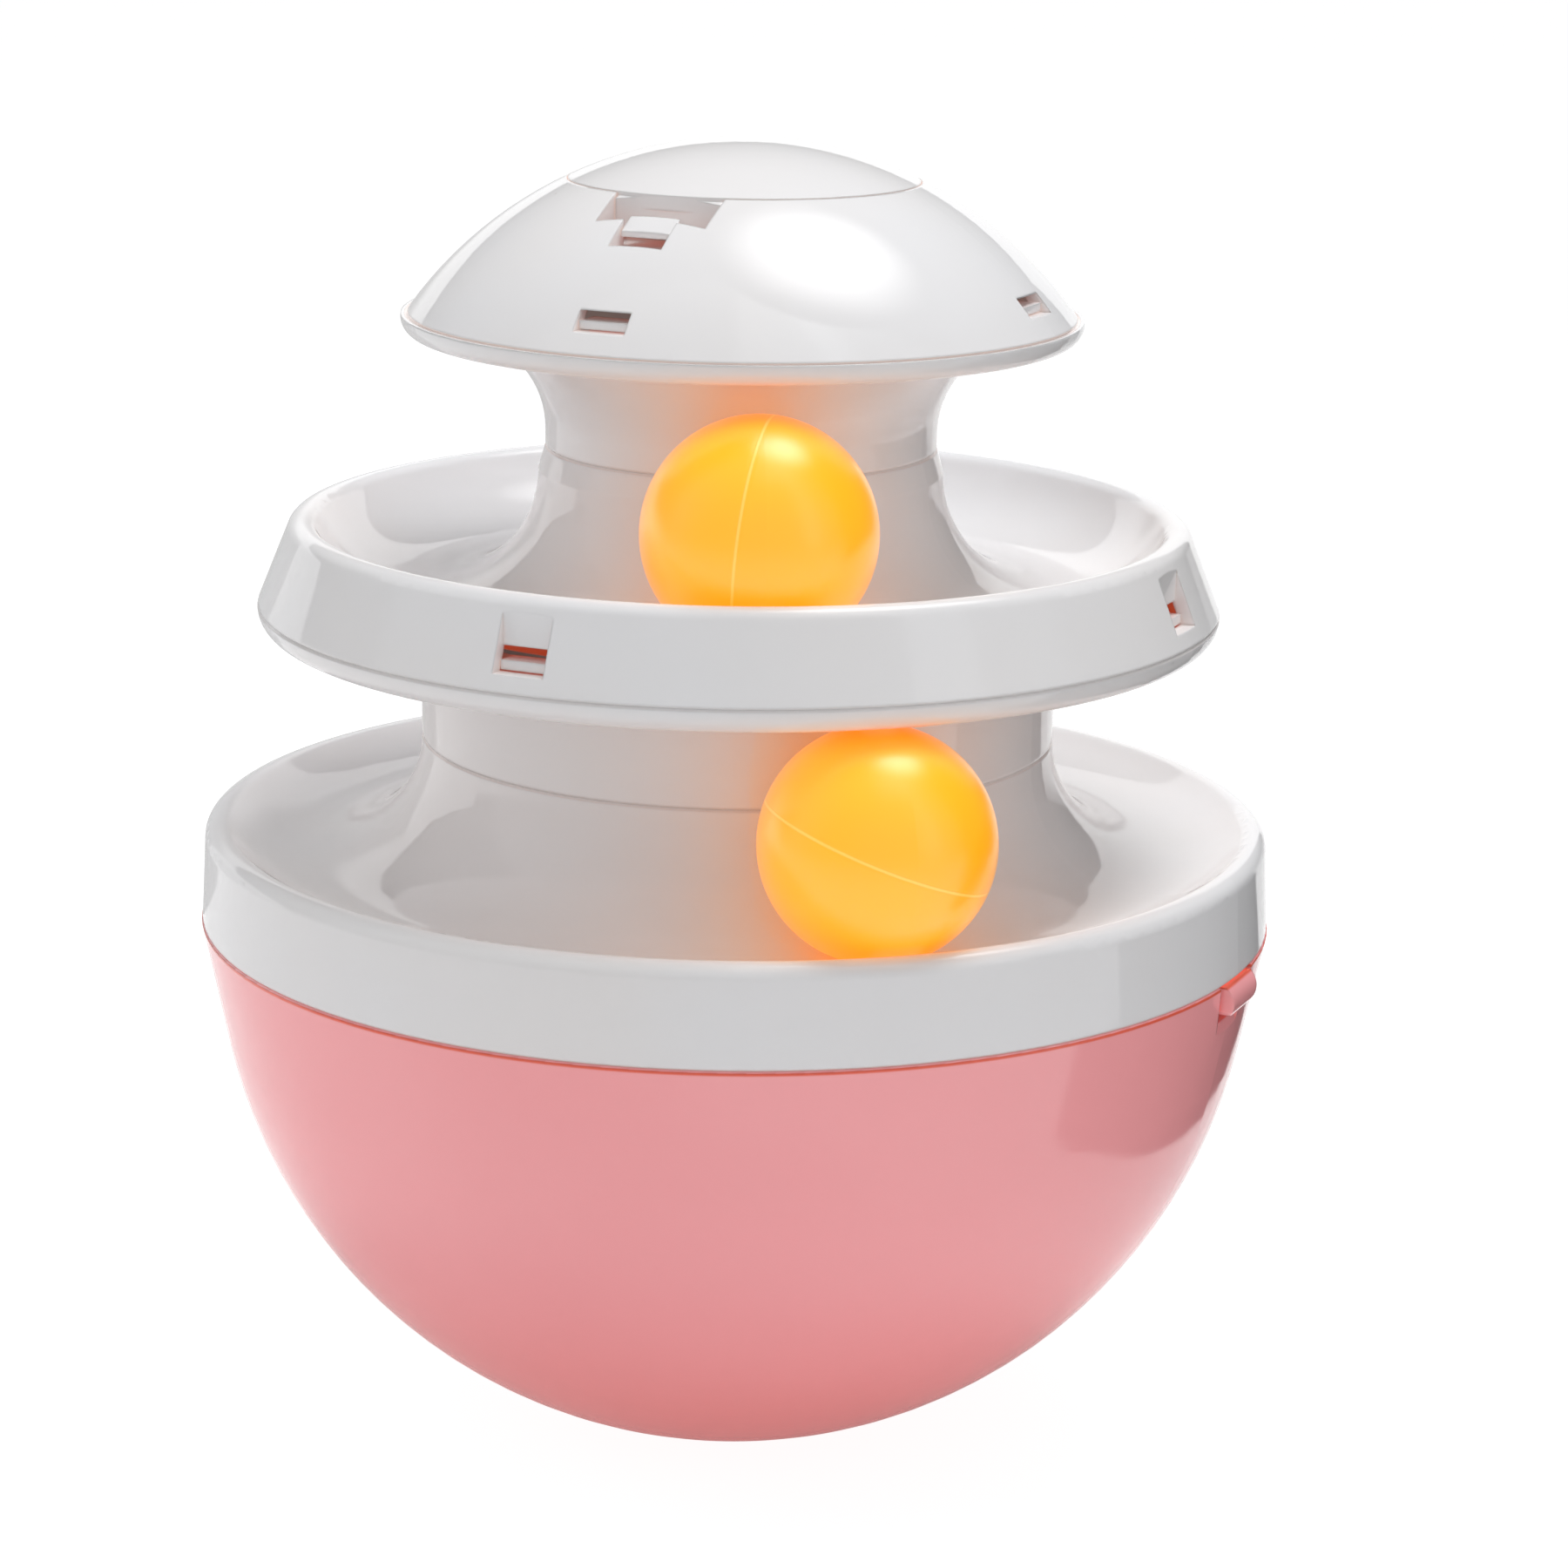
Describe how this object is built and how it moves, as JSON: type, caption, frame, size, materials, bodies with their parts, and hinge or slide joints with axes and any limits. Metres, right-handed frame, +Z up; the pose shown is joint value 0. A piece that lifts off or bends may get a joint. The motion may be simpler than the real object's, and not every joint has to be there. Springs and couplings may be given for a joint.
{
  "type": "treat dispensing tumbler toy",
  "caption": "Weighted roly-poly pet toy: round bowl with a swinging treat door, stacked ball tracks on necks and a domed treat hopper with a latched hinged lid.",
  "frame": {"origin": "centre of the flat spot under the bowl, on the floor", "axes": "+Z up along the axis of the bowl and tower, -Y towards the lid catch, +X towards the treat door"},
  "size_m": [0.186, 0.1848, 0.2249],
  "materials": {
    "white_plastic": "glossy moulded white plastic",
    "pink_plastic": "glossy moulded pink plastic",
    "orange_plastic": "satin, slightly translucent orange plastic",
    "weight_steel": "bare cast weight",
    "screw_steel": "zinc plated steel"
  },
  "bodies": {
    "base": {"bowl": "pink_plastic", "counterweight": "weight_steel", "weight_washer": "screw_steel", "weight_screw": "screw_steel", "treat_floor": "white_plastic", "floor_screws": "screw_steel", "door_pin": "screw_steel", "lower_track": "white_plastic", "lower_neck": "white_plastic", "lower_neck_screws": "screw_steel", "upper_track": "white_plastic", "hopper_pan": "white_plastic", "upper_neck_screws": "screw_steel", "hopper_dome": "white_plastic", "lid_pin": "screw_steel"},
    "door": {"treat_door": "pink_plastic"},
    "lid": {"hopper_lid": "white_plastic"},
    "catch": {"lid_catch": "white_plastic"},
    "ball_low": {"lower_ball": "orange_plastic"},
    "ball_up": {"upper_ball": "orange_plastic"}
  },
  "joints": [
    {"name": "door_swing", "type": "hinge", "parent": "base", "child": "door", "pos_m": [0.09037, 0, 0.0901], "axis": [0, 1, 0], "range_deg": [0, 60]},
    {"name": "lid_hinge", "type": "hinge", "parent": "base", "child": "lid", "pos_m": [0, 0.0335, 0.21699], "axis": [-1, 0, 0], "range_deg": [0, 110]},
    {"name": "catch_press", "type": "slide", "parent": "lid", "child": "catch", "axis": [0, 1, 0], "range_m": [0, 0.0012], "stiffness_N_per_m": 500, "springref_m": -0.001},
    {"name": "lower_ball_orbit", "type": "hinge", "parent": "base", "child": "ball_low", "pos_m": [0, 0, 0.1227], "axis": [0, 0, 1], "continuous": true},
    {"name": "upper_ball_orbit", "type": "hinge", "parent": "base", "child": "ball_up", "pos_m": [0, 0, 0.1685], "axis": [0, 0, 1], "continuous": true}
  ]
}
